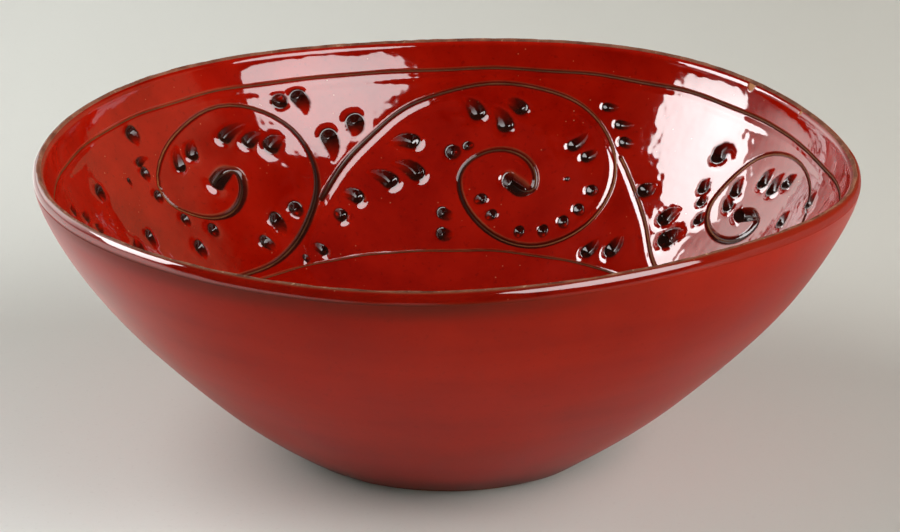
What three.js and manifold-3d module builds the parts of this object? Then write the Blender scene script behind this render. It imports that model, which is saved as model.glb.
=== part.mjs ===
// A wide hand-thrown earthenware bowl with a carved scroll frieze inside, glazed red.
// Millimetres, +Z up. The origin is on the table under the middle of the bowl.
// +Y points to the far side of the bowl and +X to its right. Azimuths are degrees from +Y towards +X.
// Slants are distances down the outer face of the wall, from its top edge.
import * as THREE from "three";
import { mergeVertices } from "three/addons/utils/BufferGeometryUtils.js";
import Module from "manifold-3d";

// Outer face of the wall, a curve from the foot to the rim
const RIM_RADIUS = 140.3;
const RIM_HEIGHT = 102.2;
const FOOT_RADIUS = 56.2;
const FOOT_HEIGHT = 1.5;
const BELLY_REACH = 59; // the curve leaves the foot along this handle
const BELLY_RISE = 42.5;
const SHOULDER_REACH = 0.4; // and arrives at the rim along this one
const SHOULDER_DROP = 14.2;

// Hand-made waves of the rim, which fade out towards the foot: the lift, and the azimuth of the first crest
const RIM_WAVES = [
  { lobes: 2, lift: 1.2, crest: -12 },
  { lobes: 3, lift: 1.2, crest: 30 },
  { lobes: 4, lift: 1.15, crest: 43 },
];
const WAVE_FADE = 1.5; // power of the height above the foot by which the waves fade

// Wall and coats, from the outside in
const WALL_AT_RIM = 4.2; // clay and both coats together
const WALL_AT_FOOT = 8;
const OUTER_GLAZE = 0.5;
const INNER_GLAZE = 0.9;
const COAT_GAP = 0.2; // between a coat and what it lies against
const RIM_CROWN = 1.3; // the bare top of the rim is rounded by this much
const FLOOR_HEIGHT = 8; // glazed inside floor above the table
const FLOOR_FLAT_RADIUS = 26;
const FLOOR_BLEND_SLANT = 118; // the wall starts to ease into the floor here

// Foot ring, set in from the wall
const FOOT_SET_BACK = 2.6;
const FOOT_WIDTH = 7;
const UNDERSIDE_SET_BACK = 1.4;

// Gloss band outside the rim, and the outer glaze below it
const LIP_DEPTH = 5;
const LIP_START = 0.7; // bare clay above the band
const LIP_BULGE = 0.3; // the band stands this proud of the wall
const OUTER_GLAZE_END = 0.6; // bare wall above the foot

// Carved lines and the frieze between them
const RIM_FIELD_START = 0.7; // bare clay above the inner glaze
const UPPER_LINE_SLANT = 11.6;
const LOWER_LINE_SLANT = 87.5;
const LINE_WIDTH = 1.4;
const LINE_RECESS = 0.1; // the stain lies this far below the glaze
const STAIN_THICKNESS = 0.2;

// Scrolls: every second one hangs the other way up
const SCROLL_AZIMUTHS = [-48, 12, 66, 127, 188, 252];
const STANDING_EYE_SLANT = 57.4;
const HANGING_EYE_SLANT = 46.1;
const UPPER_CLEARANCE = 6; // from the outer turn to the border lines
const LOWER_CLEARANCE = 3.7;
const SCROLL_START = 12; // where the line crosses the level of its eye, right, left and right again
const SCROLL_LEFT = 18.5;
const SCROLL_RIGHT = 43.5;
const INNER_TURN_RISE = 12.5;
const CROWN_OFFSET = 4; // the top of the outer turn lies this far left of the eye
const EYE_LENGTH = 11;
const EYE_DIP = 4;
const EYE_SWELL = 1.3; // the line is this much wider on each side at its eye
const EYE_SHARE = 0.7; // share of that first curve that is swollen
const STEM_EASE = 0.4; // share of the stem's run that its handles take
const STEM_JOIN_RISE = 15; // where the stem meets the next scroll, from the level of that scroll's eye
const STEM_GAP = 1.2;

// Fineness of the facets
const COLUMNS = 56;
const WALL_ROWS = 7;
const FRIEZE_ROWS = 7;
const FIELD_ROWS = 2;
const BLEND_ROWS = 3;
const CROWN_ROWS = 4;
const CURVE_STEPS = 10; // of each curve in a scroll's line

const wasm = await Module();
wasm.setup();

const WALL_CURVE = new THREE.CubicBezierCurve(
  new THREE.Vector2(FOOT_RADIUS, FOOT_HEIGHT),
  new THREE.Vector2(FOOT_RADIUS + BELLY_REACH, FOOT_HEIGHT + BELLY_RISE),
  new THREE.Vector2(RIM_RADIUS - SHOULDER_REACH, RIM_HEIGHT - SHOULDER_DROP),
  new THREE.Vector2(RIM_RADIUS, RIM_HEIGHT),
);
const WALL_LENGTH = WALL_CURVE.getLength();
const CLAY_OUTER_DEPTH = OUTER_GLAZE + COAT_GAP;
const CLAY_INNER_COVER = INNER_GLAZE + COAT_GAP; // glaze and gap over the clay, inside the bowl
const GROOVE_DEPTH = LINE_RECESS + STAIN_THICKNESS + COAT_GAP;
const LINE_HALF = LINE_WIDTH / 2;
const GROOVE_HALF = LINE_HALF + COAT_GAP;

// Parameter of the wall curve at a slant.
function wallParameter(slant) {
  return WALL_CURVE.getUtoTmapping(0, WALL_LENGTH - slant);
}

// Direction up the wall at a slant, in the plane of the profile.
function wallDirection(slant) {
  return WALL_CURVE.getTangent(wallParameter(slant));
}

function wallThickness(slant) {
  return THREE.MathUtils.mapLinear(slant, 0, WALL_LENGTH, WALL_AT_RIM, WALL_AT_FOOT);
}

// Profile point at a slant, a given depth inside the outer face.
function outsidePoint(slant, depth) {
  const up = wallDirection(slant);
  return WALL_CURVE.getPoint(wallParameter(slant)).add(new THREE.Vector2(-up.y, up.x).multiplyScalar(depth));
}

// Profile point at a slant, a given cover below the glazed inner face.
function insidePoint(slant, cover) {
  return outsidePoint(slant, wallThickness(slant) - cover);
}

// Even steps from one slant to another, both ends included.
function steps(from, to, count) {
  return Array.from({ length: count + 1 }, (_, i) => THREE.MathUtils.lerp(from, to, i / count));
}

// Rows shared by the clay and by the coat that lies on it, so that their facets run parallel
const RIM_FIELD_SLANTS = steps(RIM_FIELD_START, UPPER_LINE_SLANT - GROOVE_HALF, FIELD_ROWS);
const FRIEZE_SLANTS = steps(UPPER_LINE_SLANT + GROOVE_HALF, LOWER_LINE_SLANT - GROOVE_HALF, FRIEZE_ROWS);
const WELL_SLANTS = steps(LOWER_LINE_SLANT + GROOVE_HALF, FLOOR_BLEND_SLANT, FIELD_ROWS);
const LIP_SLANTS = steps(LIP_START, LIP_DEPTH, FIELD_ROWS);
const OUTER_SLANTS = steps(LIP_DEPTH + COAT_GAP, WALL_LENGTH - OUTER_GLAZE_END, WALL_ROWS);

// Profile from the lower wall over the blend to the middle of the floor, a given cover below the glaze.
function wellProfile(cover) {
  const wall = WELL_SLANTS.map((slant) => insidePoint(slant, cover));
  const start = wall.at(-1);
  const level = FLOOR_HEIGHT - cover;
  const down = wallDirection(FLOOR_BLEND_SLANT).negate();
  const corner = start.clone().addScaledVector(down, (level - start.y) / down.y);
  const end = new THREE.Vector2(FLOOR_FLAT_RADIUS, level);
  const blend = new THREE.QuadraticBezierCurve(start, corner, end).getPoints(BLEND_ROWS).slice(1);
  return [...wall, ...blend, new THREE.Vector2(0, level)];
}

// Profile down the whole inside, a given cover below the glaze, with these floors of the two grooves.
function insideProfile(cover, upperGroove = [], lowerGroove = []) {
  return [
    ...RIM_FIELD_SLANTS.map((slant) => insidePoint(slant, cover)),
    ...upperGroove,
    ...FRIEZE_SLANTS.map((slant) => insidePoint(slant, cover)),
    ...lowerGroove,
    ...wellProfile(cover),
  ];
}

// Rounded bare top of the rim, from the clay's outer face to its inner face.
function rimCrown() {
  const outer = outsidePoint(0, CLAY_OUTER_DEPTH);
  const inner = insidePoint(0, CLAY_INNER_COVER);
  return steps(0, Math.PI, CROWN_ROWS).map((angle) => {
    const point = outer.clone().lerp(inner, (1 - Math.cos(angle)) / 2);
    point.y += RIM_CROWN * Math.sin(angle);
    return point;
  });
}

// Lifts each vertex by the rim's waves, in full at the rim and not at all at the foot.
function makeWavy(geometry) {
  const place = geometry.getAttribute("position");
  for (let i = 0; i < place.count; i++) {
    const point = new THREE.Vector3().fromBufferAttribute(place, i);
    const azimuth = Math.atan2(point.x, point.y);
    const rise = (point.z - FOOT_HEIGHT) / (RIM_HEIGHT - FOOT_HEIGHT);
    const share = Math.max(rise, 0) ** WAVE_FADE;
    for (const wave of RIM_WAVES) {
      const angle = wave.lobes * (azimuth - THREE.MathUtils.degToRad(wave.crest));
      point.z += share * wave.lift * Math.cos(angle);
    }
    place.setZ(i, point.z);
  }
  return geometry;
}

// Only the places of a geometry, with the vertices of shared edges merged.
function weld(geometry) {
  geometry.deleteAttribute("normal");
  geometry.deleteAttribute("uv");
  return mergeVertices(geometry);
}

// A profile turned about the axis. It runs from axis to axis or closes on itself, counter-clockwise.
function turned(profile) {
  const closes = profile[0].x > 0;
  const loop = closes ? [...profile, profile[0]] : profile;
  const geometry = new THREE.LatheGeometry(loop, COLUMNS);
  geometry.rotateX(Math.PI / 2);
  return makeWavy(weld(geometry));
}

// Floor of the groove for a border line.
function grooveFloor(slant) {
  return [slant - GROOVE_HALF, slant + GROOVE_HALF].map((edge) => insidePoint(edge, GROOVE_DEPTH));
}

function clayBody() {
  const underside = new THREE.Vector2(FOOT_RADIUS - UNDERSIDE_SET_BACK, FOOT_HEIGHT);
  const outside = [...LIP_SLANTS, ...OUTER_SLANTS].map((slant) => outsidePoint(slant, CLAY_OUTER_DEPTH));
  return turned([
    new THREE.Vector2(0, FOOT_HEIGHT),
    underside,
    ...outside.reverse(),
    ...rimCrown(),
    ...insideProfile(CLAY_INNER_COVER),
  ]);
}

function footRing() {
  const outer = FOOT_RADIUS - FOOT_SET_BACK;
  const inner = outer - FOOT_WIDTH;
  return turned([
    new THREE.Vector2(inner, 0),
    new THREE.Vector2(outer, 0),
    new THREE.Vector2(outer, FOOT_HEIGHT),
    new THREE.Vector2(inner, FOOT_HEIGHT),
  ]);
}

function outerGlaze() {
  const face = OUTER_SLANTS.map((slant) => outsidePoint(slant, 0));
  const back = OUTER_SLANTS.map((slant) => outsidePoint(slant, OUTER_GLAZE));
  return turned([...face.reverse(), ...back]);
}

// The lip band swells to its full bulge half way down.
function lipGlaze() {
  const face = LIP_SLANTS.map((slant) => {
    const share = THREE.MathUtils.inverseLerp(LIP_START, LIP_DEPTH, slant);
    return outsidePoint(slant, -LIP_BULGE * Math.sin(Math.PI * share));
  });
  const back = LIP_SLANTS.map((slant) => outsidePoint(slant, OUTER_GLAZE));
  return turned([...face.reverse(), ...back]);
}

function borderStain(slant) {
  const edges = [slant - LINE_HALF, slant + LINE_HALF];
  const face = edges.map((edge) => insidePoint(edge, LINE_RECESS));
  const back = edges.map((edge) => insidePoint(edge, LINE_RECESS + STAIN_THICKNESS));
  return turned([...back.reverse(), ...face]);
}

// Radius of the glazed inner face in the middle of the frieze, at which the scrolls are drawn flat.
const FRIEZE_RADIUS = insidePoint((UPPER_LINE_SLANT + LOWER_LINE_SLANT) / 2, 0).x;

// A scroll and its neighbour on the left, with the sizes that follow from the frieze.
function scrollPlan(index) {
  const azimuth = SCROLL_AZIMUTHS[index];
  const before = SCROLL_AZIMUTHS.at(index - 1) - (index === 0 ? 360 : 0);
  const standing = index % 2 === 1;
  const eyeSlant = standing ? STANDING_EYE_SLANT : HANGING_EYE_SLANT;
  const toUpper = eyeSlant - UPPER_LINE_SLANT - UPPER_CLEARANCE;
  const toLower = LOWER_LINE_SLANT - eyeSlant - LOWER_CLEARANCE;
  return {
    azimuth,
    eyeSlant,
    upright: standing ? 1 : -1,
    spacing: THREE.MathUtils.degToRad(azimuth - before) * FRIEZE_RADIUS,
    crownRise: standing ? toUpper : toLower,
    bottomDrop: standing ? toLower : toUpper,
    neighbourEyeRise: standing ? eyeSlant - HANGING_EYE_SLANT : STANDING_EYE_SLANT - eyeSlant,
    neighbourCrownRise: standing
      ? LOWER_LINE_SLANT - HANGING_EYE_SLANT - LOWER_CLEARANCE
      : STANDING_EYE_SLANT - UPPER_LINE_SLANT - UPPER_CLEARANCE,
  };
}

// The line of a standing scroll, drawn flat about its eye: the eye, two half turns, the quarter turn up to
// the crown, and the stem down to the scroll on the left.
function scrollLine(plan) {
  const outerReach = SCROLL_RIGHT + CROWN_OFFSET;
  const innerMiddle = (SCROLL_START - SCROLL_LEFT) / 2;
  const outerMiddle = (SCROLL_RIGHT - SCROLL_LEFT) / 2;
  const joinShare = STEM_JOIN_RISE / plan.neighbourCrownRise;
  const joinReach = outerReach * Math.sqrt(1 - joinShare ** 2) - CROWN_OFFSET;
  const stemEnd = new THREE.Vector2(
    -plan.spacing + joinReach + LINE_WIDTH + STEM_GAP,
    plan.neighbourEyeRise - STEM_JOIN_RISE,
  );
  const stemEase = STEM_EASE * (-CROWN_OFFSET - stemEnd.x);
  const curves = [
    new THREE.CubicBezierCurve(
      new THREE.Vector2(SCROLL_START - EYE_LENGTH, 0),
      new THREE.Vector2(SCROLL_START - EYE_LENGTH / 2, -EYE_DIP),
      new THREE.Vector2(SCROLL_START, -EYE_DIP),
      new THREE.Vector2(SCROLL_START, 0),
    ),
    new THREE.EllipseCurve(innerMiddle, 0, SCROLL_START - innerMiddle, INNER_TURN_RISE, 0, Math.PI),
    new THREE.EllipseCurve(outerMiddle, 0, SCROLL_RIGHT - outerMiddle, plan.bottomDrop, Math.PI, 2 * Math.PI),
    new THREE.EllipseCurve(-CROWN_OFFSET, 0, outerReach, plan.crownRise, 0, Math.PI / 2),
    new THREE.CubicBezierCurve(
      new THREE.Vector2(-CROWN_OFFSET, plan.crownRise),
      new THREE.Vector2(-CROWN_OFFSET - stemEase, plan.crownRise),
      new THREE.Vector2(stemEnd.x + stemEase, stemEnd.y + stemEase),
      stemEnd,
    ),
  ];
  return curves.flatMap((curve, i) => curve.getPoints(CURVE_STEPS).slice(i === 0 ? 0 : 1));
}

// Both edges of a scroll's line at each of its points, wider at its eye, with a margin all round.
// A hanging scroll is drawn the other way up, so its edges change places.
function scrollEdges(plan, margin) {
  const points = scrollLine(plan);
  const last = points.length - 1;
  return points.map((point, i) => {
    const along = points[Math.min(i + 1, last)].clone().sub(points[Math.max(i - 1, 0)]).normalize();
    const swell = EYE_SWELL * Math.sin(Math.PI * Math.min(i / CURVE_STEPS / EYE_SHARE, 1));
    const across = new THREE.Vector2(-along.y, along.x).multiplyScalar(LINE_HALF + swell + margin);
    const lengthened = i === 0 ? -margin : i === last ? margin : 0;
    const centre = point.clone().addScaledVector(along, lengthened);
    const edges = [centre.clone().add(across), centre.clone().sub(across)];
    return plan.upright > 0 ? edges : edges.reverse();
  });
}

// A point of a scroll's flat drawing, bent to the wall a given cover below the glazed face.
function placeOnWall(plan, point, cover) {
  const azimuth = THREE.MathUtils.degToRad(plan.azimuth) + point.x / FRIEZE_RADIUS;
  const profile = insidePoint(plan.eyeSlant - plan.upright * point.y, cover);
  return [profile.x * Math.sin(azimuth), profile.x * Math.cos(azimuth), profile.y];
}

// A scroll's line as a strip of four sides between two covers of the inner face.
function scrollStrip(plan, margin, nearCover, farCover) {
  const places = [];
  const triangles = [];
  const addQuad = (a, b, c, d) => triangles.push(a, b, c, a, c, d);
  scrollEdges(plan, margin).forEach(([left, right], i) => {
    const corner = 4 * i;
    places.push(...placeOnWall(plan, left, nearCover), ...placeOnWall(plan, right, nearCover));
    places.push(...placeOnWall(plan, right, farCover), ...placeOnWall(plan, left, farCover));
    for (let side = 0; side < 4 && i > 0; side++) {
      const next = (side + 1) % 4;
      addQuad(corner - 4 + side, corner - 4 + next, corner + next, corner + side);
    }
  });
  const end = places.length / 3 - 4;
  addQuad(3, 2, 1, 0);
  addQuad(end, end + 1, end + 2, end + 3);
  const strip = new THREE.BufferGeometry();
  strip.setAttribute("position", new THREE.Float32BufferAttribute(places, 3));
  strip.setIndex(triangles);
  return makeWavy(strip);
}

function solidFrom(geometry) {
  const vertProperties = new Float32Array(geometry.getAttribute("position").array);
  const triVerts = new Uint32Array(geometry.index.array);
  return new wasm.Manifold(new wasm.Mesh({ numProp: 3, vertProperties, triVerts }));
}

function geometryFrom(solid) {
  const mesh = solid.getMesh();
  const geometry = new THREE.BufferGeometry();
  geometry.setAttribute("position", new THREE.BufferAttribute(new Float32Array(mesh.vertProperties), 3));
  geometry.setIndex(new THREE.BufferAttribute(new Uint32Array(mesh.triVerts), 1));
  return geometry;
}

const SCROLLS = SCROLL_AZIMUTHS.map((_, index) => scrollPlan(index));

// The inner coat has a groove for each border line and each scroll.
function innerGlaze() {
  const face = insideProfile(0, grooveFloor(UPPER_LINE_SLANT), grooveFloor(LOWER_LINE_SLANT));
  const back = insideProfile(INNER_GLAZE);
  let coat = solidFrom(turned([...back.reverse(), ...face]));
  for (const plan of SCROLLS) {
    const cutter = scrollStrip(plan, COAT_GAP, -INNER_GLAZE, GROOVE_DEPTH);
    coat = coat.subtract(solidFrom(cutter));
  }
  return geometryFrom(coat);
}

function scrollStain(plan) {
  return scrollStrip(plan, 0, LINE_RECESS, LINE_RECESS + STAIN_THICKNESS);
}

const BISCUIT = new THREE.MeshStandardMaterial({ color: 0xb9835f, roughness: 0.9, metalness: 0 });
const SATIN_RED = new THREE.MeshStandardMaterial({ color: 0x8a1f16, roughness: 0.45, metalness: 0 });
const GLOSS_RED = new THREE.MeshStandardMaterial({ color: 0x8c0f08, roughness: 0.12, metalness: 0 });
const IRON_STAIN = new THREE.MeshStandardMaterial({ color: 0x3a1a10, roughness: 0.5, metalness: 0 });

const bowl = new THREE.Group();

function addPiece(name, geometry, material) {
  const piece = new THREE.Mesh(geometry, material);
  piece.name = name;
  bowl.add(piece);
}

addPiece("clay_body", clayBody(), BISCUIT);
addPiece("foot_ring", footRing(), BISCUIT);
addPiece("outer_glaze", outerGlaze(), SATIN_RED);
addPiece("lip_glaze", lipGlaze(), GLOSS_RED);
addPiece("inner_glaze", innerGlaze(), GLOSS_RED);
addPiece("upper_border_line", borderStain(UPPER_LINE_SLANT), IRON_STAIN);
addPiece("lower_border_line", borderStain(LOWER_LINE_SLANT), IRON_STAIN);
SCROLLS.forEach((plan, index) => {
  addPiece(`scroll_line_${index + 1}`, scrollStain(plan), IRON_STAIN);
});

export default bowl;
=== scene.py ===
import bpy
import numpy as np
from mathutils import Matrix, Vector


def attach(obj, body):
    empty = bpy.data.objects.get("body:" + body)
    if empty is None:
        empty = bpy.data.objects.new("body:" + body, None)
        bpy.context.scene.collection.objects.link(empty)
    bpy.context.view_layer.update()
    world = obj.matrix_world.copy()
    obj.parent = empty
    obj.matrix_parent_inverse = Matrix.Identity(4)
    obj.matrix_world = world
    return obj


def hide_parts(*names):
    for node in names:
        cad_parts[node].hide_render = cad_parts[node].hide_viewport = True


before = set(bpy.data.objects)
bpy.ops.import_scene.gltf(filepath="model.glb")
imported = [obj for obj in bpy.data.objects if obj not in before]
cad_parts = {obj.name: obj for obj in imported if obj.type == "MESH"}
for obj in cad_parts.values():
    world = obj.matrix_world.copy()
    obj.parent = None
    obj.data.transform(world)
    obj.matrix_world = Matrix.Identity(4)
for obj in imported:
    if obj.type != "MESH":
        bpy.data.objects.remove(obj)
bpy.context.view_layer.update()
MM = 0.001

# Outer face of the wall, a curve from the rim to the foot
RIM_RADIUS = 140.3
RIM_HEIGHT = 102.2
FOOT_RADIUS = 56.2
FOOT_HEIGHT = 1.5
BELLY_REACH = 59
BELLY_RISE = 42.5
SHOULDER_REACH = 0.4
SHOULDER_DROP = 14.2
WALL_HANDLES = [
    (RIM_RADIUS, RIM_HEIGHT),
    (RIM_RADIUS - SHOULDER_REACH, RIM_HEIGHT - SHOULDER_DROP),
    (FOOT_RADIUS + BELLY_REACH, FOOT_HEIGHT + BELLY_RISE),
    (FOOT_RADIUS, FOOT_HEIGHT),
]
ABOVE_RIM = 3  # the wall's line goes on this far above the rim, for the rounded edges

# Waves of the rim: number of lobes, lift and azimuth of the first crest
RIM_WAVES = [(2, 1.2, -12), (3, 1.2, 30), (4, 1.15, 43)]
WAVE_FADE = 1.5

# Wall, floor and foot
WALL_AT_RIM = 4.2
WALL_AT_FOOT = 8
FLOOR_HEIGHT = 8
FLOOR_FLAT_RADIUS = 26
FLOOR_BLEND_SLANT = 118
FOOT_SET_BACK = 2.6
FOOT_WIDTH = 7
FOOT_ROUNDING = 0.4
UNDERSIDE_SET_BACK = 1.4

# Rim: the bare crown of the clay, the roll of the inner glaze, and the gloss lip outside
CLAY_OUTER_DEPTH = 0.7
CLAY_INNER_GAP = 0.2  # behind the inner glaze
CLAY_TOP_SLANT = 0.5
CROWN_OUTER_DEPTH = 1.2
CROWN_INNER_COVER = 1.1
RIM_CROWN = 1.3
CROWN_HIGHEST = 0.1  # the dents of the crown rise no further than this
CROWN_RUN = 200  # slants that the ripples of the clay run over, from its first row to its last
INNER_ROLL_START = 1.8  # the inner glaze starts to round off at this slant
INNER_ROLL_END = -0.5
INNER_ROLL_DEPTH = 1.2
LIP_TOP_RISE = 1.05  # above the wall's top edge
LIP_TOP_DEPTH = 1.7
LIP_FULLEST_SLANT = 2.8
LIP_BULGE = 0.03
LIP_GLOSS = (1.5, 2.7)  # the gloss fades out between these slants
LIP_END = 3.1
LIP_LAST_GLOSS = 0.12  # share of the gloss at its lower end
SEAM_CALM = 6  # the satin coat has no ripples at its upper end, and all of them this far below
LIP_SINK = 0.02  # below the satin coat at its lower end
LIP_BACK = 2.2
LIP_BREAK = 0.35  # the glaze is thin and brown for this far below its top edge
LIP_DARK = 0.35
SATIN_START = 2.9
SATIN_END = 0.6  # bare wall above the foot
SATIN_BACK = 0.9
# The brown under the lip is partly a painted shadow of the lip, and the brown above the foot is mostly
# painted shade
BROWN_REACH = 8  # below the lip
BROWN_AZIMUTH = 205  # where the band below the lip is brownest
BROWN_EDGE = (0.55, 0.95)  # cosines of the angles from there between which the brown comes in
BASE_BROWN_AND_SHADE = 1  # share of the brown just above the foot, mostly painted shade
BASE_BROWN_AND_SHADE_REACH = 20
DULL_AZIMUTH = 100  # where the lip is dull
DULL_ANGLES = (50, 38)  # degrees from there, between which it gets dull
DULL_MATTE = 0.75
DULL_BROWN = 0.3
DULL_SATIN = 0.6

# Chips in the rim: azimuth, half width and reach down the inside
CHIPS = [(54.5, 1.7, 3), (67.5, 0.7, 1.2)]
CHIP_DEPTH = 0.35
CHIP_EDGE = (0.8, 1.1)  # shares of its reach, between which a chip ends

# Carved lines and scrolls; every second scroll hangs the other way up
UPPER_LINE_SLANT = 11.6
LOWER_LINE_SLANT = 87.5
SCROLL_AZIMUTHS = [-48, 12, 66, 127, 188, 252]
STANDING_EYE_SLANT = 57.4
HANGING_EYE_SLANT = 46.1
UPPER_CLEARANCE = 6
LOWER_CLEARANCE = 3.7
SCROLL_START = 12
SCROLL_LEFT = 18.5
LEFT_STRAYS = [8, 0, -2.4, 0, 0, 0]  # how much further left each hand-drawn scroll goes, at most
STRAY_LEVEL = -8  # level above the eye at which it strays most
STRAY_SPREAD = 16
SCROLL_RIGHT = 43.5
INNER_TURN_RISE = 12.5
CROWN_OFFSET = 4
EYE_LENGTH = 11
EYE_DIP = 4
STEM_EASE = 0.4
STEM_JOIN_RISE = 15
STEM_END_GAP = 2.6
CURVE_STEPS = 24

# Tool marks: half widths and depths of the cuts, and the burr that they push up
STROKE_HALF = 0.8
STROKE_DEPTH = 0.45
STROKE_DARK = 0.75
LINE_MATTE = 0.55  # share of the gloss that a line lacks
PRESSURE_CHANGE = 0.12
PRESSURE_RATE = 5.3
FALLING_WIDER = 0.9  # strokes that go down are this much wider, and still just after that
FALL_STEPS = 16  # of the curves, over which the hand lets go again
EYE_NECK = 0.3  # share of the swelling that goes on past the blob of the eye
EYE_EXTRA = 2.4  # more half width at the eye
EYE_DEEPER = 1.3
BLOB_FADE = (0.2, 0.65)  # curves from the start of a line, between which the blob of its eye ends
NECK_FADE = (0.9, 1.9)
TURNS_START = (0.9, 1.5)
STEM_START = (4.2, 4.3)
BEVEL_WIDTH = 2.8  # slope on the hollow side of a stroke, in full where the stroke is upright
BEVEL_DEPTH = 0.7
BEVEL_END = (0.9, 2)  # bevel widths, between which the slope rises again
FALLING_BEVEL = 0.5  # share of it on the strokes that go down
STEM_BEVEL_WIDTH = 3.2
RISING_BEVEL_WIDTH = 2.4  # on the stems that go up, on their other side
STEM_BEVEL_DEPTH = 0.4
BORDER_HALF = 0.8
BORDER_DARK = (0.55, 0.4)  # its middle value, and how much darker it is on the right
BORDER_DEPTH = 0.4
BORDER_BEVEL = 0.2
LOWER_BORDER_SHARE = 0.7  # of the upper line's width and depth
BORDERS = [
    ("upper_border_line", UPPER_LINE_SLANT, 1),
    ("lower_border_line", LOWER_LINE_SLANT, LOWER_BORDER_SHARE),
]
DROP_SPREAD = 1.25  # of a drop's half width, to the edge of its hollow
DROP_DEPTH_SHARE = 0.5  # of the half width
SHOULDER_LENGTH_SHARE = 0.35  # from the head, of the length or of the width
SHOULDER_WIDTH_SHARE = 0.6
DROP_POINTS = 6
TAIL_CURL = 40  # degrees, from the head to the end of the tail
TAIL_STRAIGHT = 0.4  # share of the length where a tail has its own heading
DROP_HALVES = [1, 0.95, 0.3]
DROP_DEPTHS = [1, 0.6, 0]
DROP_DARKS = [1, 0.85, 0]
DROP_MATTE = [0.2, 0.9, 1]
LINE_POOL = (0.85, 1.2)  # half widths from the middle, between which the dark stain ends
DROP_POOL = (1, 1.4)
BURR_RISE = 0.38  # of the half width, at the deep end
BURR_MIDDLE = 0.75  # half widths from the middle of the cut
BURR_SPREAD = 0.7
SIDE_BURR = 0.3
# Painted highlight: a tan edge along the lit, upper right side of each line
RIDGE_MIDDLE = 0.9  # half widths from the middle of a line
RIDGE_SPREAD = 0.3
RIDGE_LEAN = 0.1
STAIN_LEFT_OFF_FOR_HIGHLIGHT = 0.6  # share of the stain left off where the painted highlight is, so that its tan shows
MATTE_EDGE = (1, 1.35)
ROOM_HALVES = 3  # half widths and bevel widths that a cut reaches past its line, at most
ROOM_BEVELS = 2
SMALLEST = 0.001  # stands for no distance where it divides
HAND_SHAKE = 0.3
SHAKE_LENGTH = 32
SIDEWAYS_SEED = 22
DOWN_SEED = 21

# Drops round a standing scroll: place of the deep end right of and above the eye, direction of the tail in
# degrees, length and width, and the curl of the tail where it isn't the usual one
STANDING_DROPS = [
    (-36.5, 16.5, 170, 7.5, 4.4),
    (-36, 3, 140, 10, 5),
    (-46.5, 0.5, 140, 9, 4.6),
    (-61, -5, 155, 6, 4.4),
    (-70, -12, 145, 2, 4),
    (-84, -25, 145, 5.5, 3.6),
    (-21.5, 12, 0, 1.5, 4.2),
    (-16, 14.5, 0, 1.5, 2.6),
    (-13.5, 28, 120, 7.5, 4.2),
    (-3, 23, 115, 9, 4.4),
    (2, 30.5, 145, 6, 3.8),
    (23, 17, 45, 7.5, 3.4),
    (29, 13, 35, 5, 3.2),
    (24.5, 3, 0, 0.5, 1.4),
    (-25.5, -14, -20, 5, 3.8),
    (-26, -23, -10, 5, 4),
    (45, -24.5, 60, 6.5, 4.4),
    (56.5, -21.5, 70, 6.5, 5),
    (32.5, 33.5, 10, 5, 2.6),
    (39, 27.5, 10, 5.5, 2.8),
    (42.5, 21, -5, 4, 3),
    (58, 4.5, 35, 4, 4.4),
]
BEAD_ANGLES = [0, -26, -47, -70, -96, -135, -158]  # a row of beads along the inside of the outer turn
BEAD_MIDDLE = 12
BEAD_REACH = 23.5
BEAD_RISE = 20.5
BEAD_LENGTH = 2
BEAD_WIDTH = 3.3

# Drops round the hanging scrolls, measured below the eye instead of above it
LONG_TAILED_DROPS = [
    (-25, -29.5, 78, 5, 4),
    (-28.5, -18.5, -6, 5, 2.4),
    (-28.5, -14.5, 81, 3.5, 3),
    (-38, -15, 90, 3, 1.4),
    (-57.5, -18, 100, 3, 4),
    (-3.5, -13.5, -66, 6, 4),
    (-11, -10.5, -79, 8, 3.6),
    (-28.5, -4.5, 90, 3, 3),
    (-23.5, 8, 90, 3, 3),
    (-13.5, 16.5, 90, 1.5, 4),
    (-48, 6.5, 107, 5, 3.4),
    (-26.5, 20, 90, 4.5, 4),
    (19, 20.5, 81, 6.5, 4.6),
    (8.5, 27.5, 52, 5, 4),
    (30, 17.5, 90, 2, 4.4),
    (23.5, 38.5, 0, 1.5, 2.6),
    (13, -16.5, -22, 11, 4),
    (21, -12.5, -27, 7, 3.8),
    (29, -9.5, -31, 6, 4.6),
    (37, -26.5, -60, 2, 4.4),
    (44, -27.5, 71, 7.5, 4.4),
    (52, -9.5, 84, 9.5, 4.8),
    (62, -15, 90, 5, 4.8),
]
SHORT_TAILED_DROPS = [
    (-33.5, 14.5, -61, 7, 4.8),
    (-26, 21.5, -49, 7.5, 6),
    (-23.5, -1.5, -98, 4, 3.6),
    (-21, 3.5, -90, 2.5, 3),
    (-17, 10, -90, 3, 3.4),
    (-24.5, -15, -60, 11, 4.6, 200),
    (-9, -6, -104, 6, 4),
    (-8, 0.5, -132, 4.5, 4),
    (1.5, -15, -90, 5.5, 4),
    (8.5, -14.5, -99, 6.5, 4),
    (13.5, -19, -78, 5, 3.6),
    (25.5, -7.5, -102, 4.5, 3.6),
    (34.5, -21, -107, 5, 3.4),
]

# Strips of stain in the grooves
STAIN_WIDTH_SHARE = 0.7
STAIN_PROUD = 0.05
STAIN_THICKNESS = 0.35
# painted light on the stain of the border lines, the same all round
BORDER_PAINTED_LIGHT = 0.4

# Unevenness of the glaze: length and height of each set of ripples
GLAZE_RIPPLES = [(3, 0.003), (5, 0.006), (11, 0.014), (26, 0.05)]
SATIN_RIPPLES = [(26, 0.015), (60, 0.1)]
CROWN_RIPPLES = [(5, 0.06), (14, 0.1)]
RIPPLE_COUNT = 14

# Inner glaze: carved panels, and a well whose ripples fade out towards the middle of the floor
PANELS = 6
PANEL_END = 96
PANEL_THICKNESS = 2.6
POLE_GAP = 4  # from the last row of the well to the middle
POLE_EASE = 30

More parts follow.
